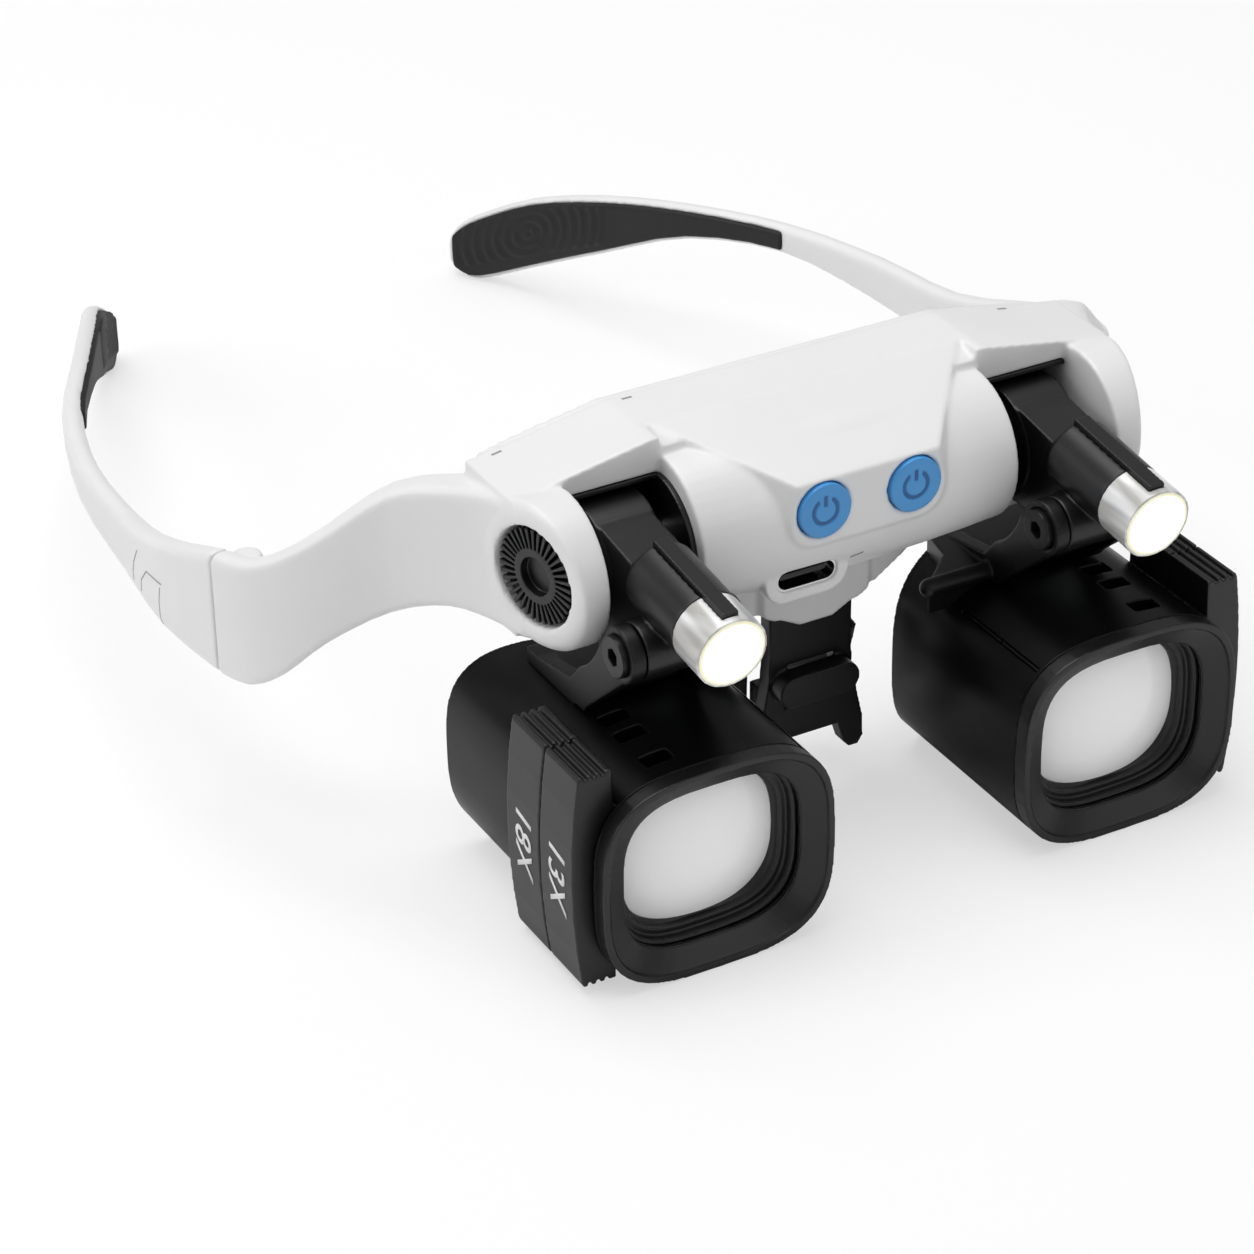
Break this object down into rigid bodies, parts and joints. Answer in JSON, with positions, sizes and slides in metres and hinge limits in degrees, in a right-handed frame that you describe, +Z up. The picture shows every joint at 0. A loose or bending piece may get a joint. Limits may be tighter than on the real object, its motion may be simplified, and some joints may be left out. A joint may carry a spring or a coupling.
{
  "type": "lighted binocular magnifier glasses",
  "caption": "Spectacle-frame magnifier with two flip-up lens barrels, slide-in lens cassettes, a lamp over each barrel and folding temples.",
  "frame": {"origin": "centre of the bounding box, at the surface that the barrels and temple tips rest on", "axes": "+X to the viewer's right across the face, -Y out of the front (the way the lamps point), +Z up"},
  "size_m": [0.1422, 0.2024, 0.0615],
  "materials": {
    "white_abs": "fine satin injection-moulded ABS, white",
    "black_abs": "satin black moulded plastic",
    "black_nylon": "satin black nylon, low wear",
    "black_rubber": "soft-touch black rubber with moulded rings",
    "blue_button": "glossy blue plastic with a sunk standby sign",
    "clear_acrylic": "clear acrylic lamp head",
    "lamp_window": "frosted acrylic lamp window",
    "led_emitter": "white light-emitting diode",
    "lens_glass": "clear ground optical lens",
    "rod_steel": "blackened steel rod",
    "screw_steel": "zinc-plated steel screw",
    "black_screw": "black oxide steel screw",
    "board_green": "green solder mask on glass-fibre board",
    "foil": "aluminium foil pouch",
    "switch_body": "black switch body",
    "connector_steel": "nickel-plated steel connector shell"
  },
  "bodies": {
    "housing": {"front_shell": "white_abs", "rear_cover": "white_abs", "cover_screws": "screw_steel", "battery_cell": "foil", "circuit_board": "board_green", "tact_switches": "switch_body", "charge_board": "board_green", "usb_shell": "connector_steel", "usb_tongue": "black_abs", "nose_bridge": "black_nylon", "nose_pads": "black_rubber", "hinge_pins": "screw_steel", "slide_rod_left": "rod_steel", "slide_rod_right": "rod_steel", "recess_liner_left": "black_abs", "recess_liner_right": "black_abs"},
    "button_left": {"power_button_left": "blue_button"},
    "dial_left": {"thumb_dial_left": "black_abs"},
    "slider_left": {"slide_sleeve_left": "black_nylon"},
    "lamp_left": {"lamp_arm_left": "black_abs", "wire_cover_left": "black_abs", "lamp_head_left": "clear_acrylic", "lamp_lens_left": "lamp_window", "lamp_led_left": "led_emitter"},
    "eyepiece_left": {"pivot_screw_left": "black_screw", "barrel_bracket_left": "black_nylon", "barrel_left": "black_abs", "barrel_rim_left": "black_abs"},
    "magazine_18_left": {"cassette_18_left": "black_abs", "lens_18_left": "lens_glass"},
    "magazine_13_left": {"cassette_13_left": "black_abs", "lens_13_left": "lens_glass"},
    "temple_left": {"temple_arm_left": "white_abs", "temple_grip_left": "black_rubber"},
    "button_right": {"power_button_right": "blue_button"},
    "dial_right": {"thumb_dial_right": "black_abs"},
    "slider_right": {"slide_sleeve_right": "black_nylon"},
    "lamp_right": {"lamp_arm_right": "black_abs", "wire_cover_right": "black_abs", "lamp_head_right": "clear_acrylic", "lamp_lens_right": "lamp_window", "lamp_led_right": "led_emitter"},
    "eyepiece_right": {"pivot_screw_right": "black_screw", "barrel_bracket_right": "black_nylon", "barrel_right": "black_abs", "barrel_rim_right": "black_abs"},
    "magazine_18_right": {"cassette_18_right": "black_abs", "lens_18_right": "lens_glass"},
    "magazine_13_right": {"cassette_13_right": "black_abs", "lens_13_right": "lens_glass"},
    "temple_right": {"temple_arm_right": "white_abs", "temple_grip_right": "black_rubber"}
  },
  "joints": [
    {"name": "button_left_press", "type": "slide", "parent": "housing", "child": "button_left", "axis": [0, 1, 0], "range_m": [0, 0.0005], "stiffness_N_per_m": 2000, "springref_m": -0.0002},
    {"name": "dial_left_turn", "type": "hinge", "parent": "housing", "child": "dial_left", "pos_m": [-0.044, -0.07391, 0.0486], "axis": [-0.9659, -0.2588, 0], "continuous": true},
    {"name": "eye_distance_left", "type": "slide", "parent": "housing", "child": "slider_left", "axis": [1, 0, 0], "range_m": [-0.0018, 0.0018]},
    {"name": "flip_up_left", "type": "hinge", "parent": "slider_left", "child": "lamp_left", "pos_m": [-0.031, -0.07041, 0.047], "axis": [-1, 0, 0], "range_deg": [-5, 35]},
    {"name": "barrel_tilt_left", "type": "hinge", "parent": "lamp_left", "child": "eyepiece_left", "pos_m": [-0.031, -0.08721, 0.0429], "axis": [-1, 0, 0], "range_deg": [-5, 15]},
    {"name": "cassette_18_left_pull", "type": "slide", "parent": "eyepiece_left", "child": "magazine_18_left", "axis": [-1, 0, 0], "range_m": [0, 0.03]},
    {"name": "cassette_13_left_pull", "type": "slide", "parent": "eyepiece_left", "child": "magazine_13_left", "axis": [-1, 0, 0], "range_m": [0, 0.03]},
    {"name": "temple_left_fold", "type": "hinge", "parent": "housing", "child": "temple_left", "pos_m": [-0.06425, -0.03201, 0.02955], "axis": [0, 0, 1], "range_deg": [-70, 0]},
    {"name": "button_right_press", "type": "slide", "parent": "housing", "child": "button_right", "axis": [0, 1, 0], "range_m": [0, 0.0005], "stiffness_N_per_m": 2000, "springref_m": -0.0002},
    {"name": "dial_right_turn", "type": "hinge", "parent": "housing", "child": "dial_right", "pos_m": [0.044, -0.07391, 0.0486], "axis": [0.9659, -0.2588, 0], "continuous": true},
    {"name": "eye_distance_right", "type": "slide", "parent": "housing", "child": "slider_right", "axis": [1, 0, 0], "range_m": [-0.0018, 0.0018]},
    {"name": "flip_up_right", "type": "hinge", "parent": "slider_right", "child": "lamp_right", "pos_m": [0.031, -0.07041, 0.047], "axis": [-1, 0, 0], "range_deg": [-5, 35]},
    {"name": "barrel_tilt_right", "type": "hinge", "parent": "lamp_right", "child": "eyepiece_right", "pos_m": [0.031, -0.08721, 0.0429], "axis": [-1, 0, 0], "range_deg": [-5, 15]},
    {"name": "cassette_18_right_pull", "type": "slide", "parent": "eyepiece_right", "child": "magazine_18_right", "axis": [1, 0, 0], "range_m": [0, 0.03]},
    {"name": "cassette_13_right_pull", "type": "slide", "parent": "eyepiece_right", "child": "magazine_13_right", "axis": [1, 0, 0], "range_m": [0, 0.03]},
    {"name": "temple_right_fold", "type": "hinge", "parent": "housing", "child": "temple_right", "pos_m": [0.06425, -0.03201, 0.02955], "axis": [0, 0, 1], "range_deg": [0, 70]}
  ]
}
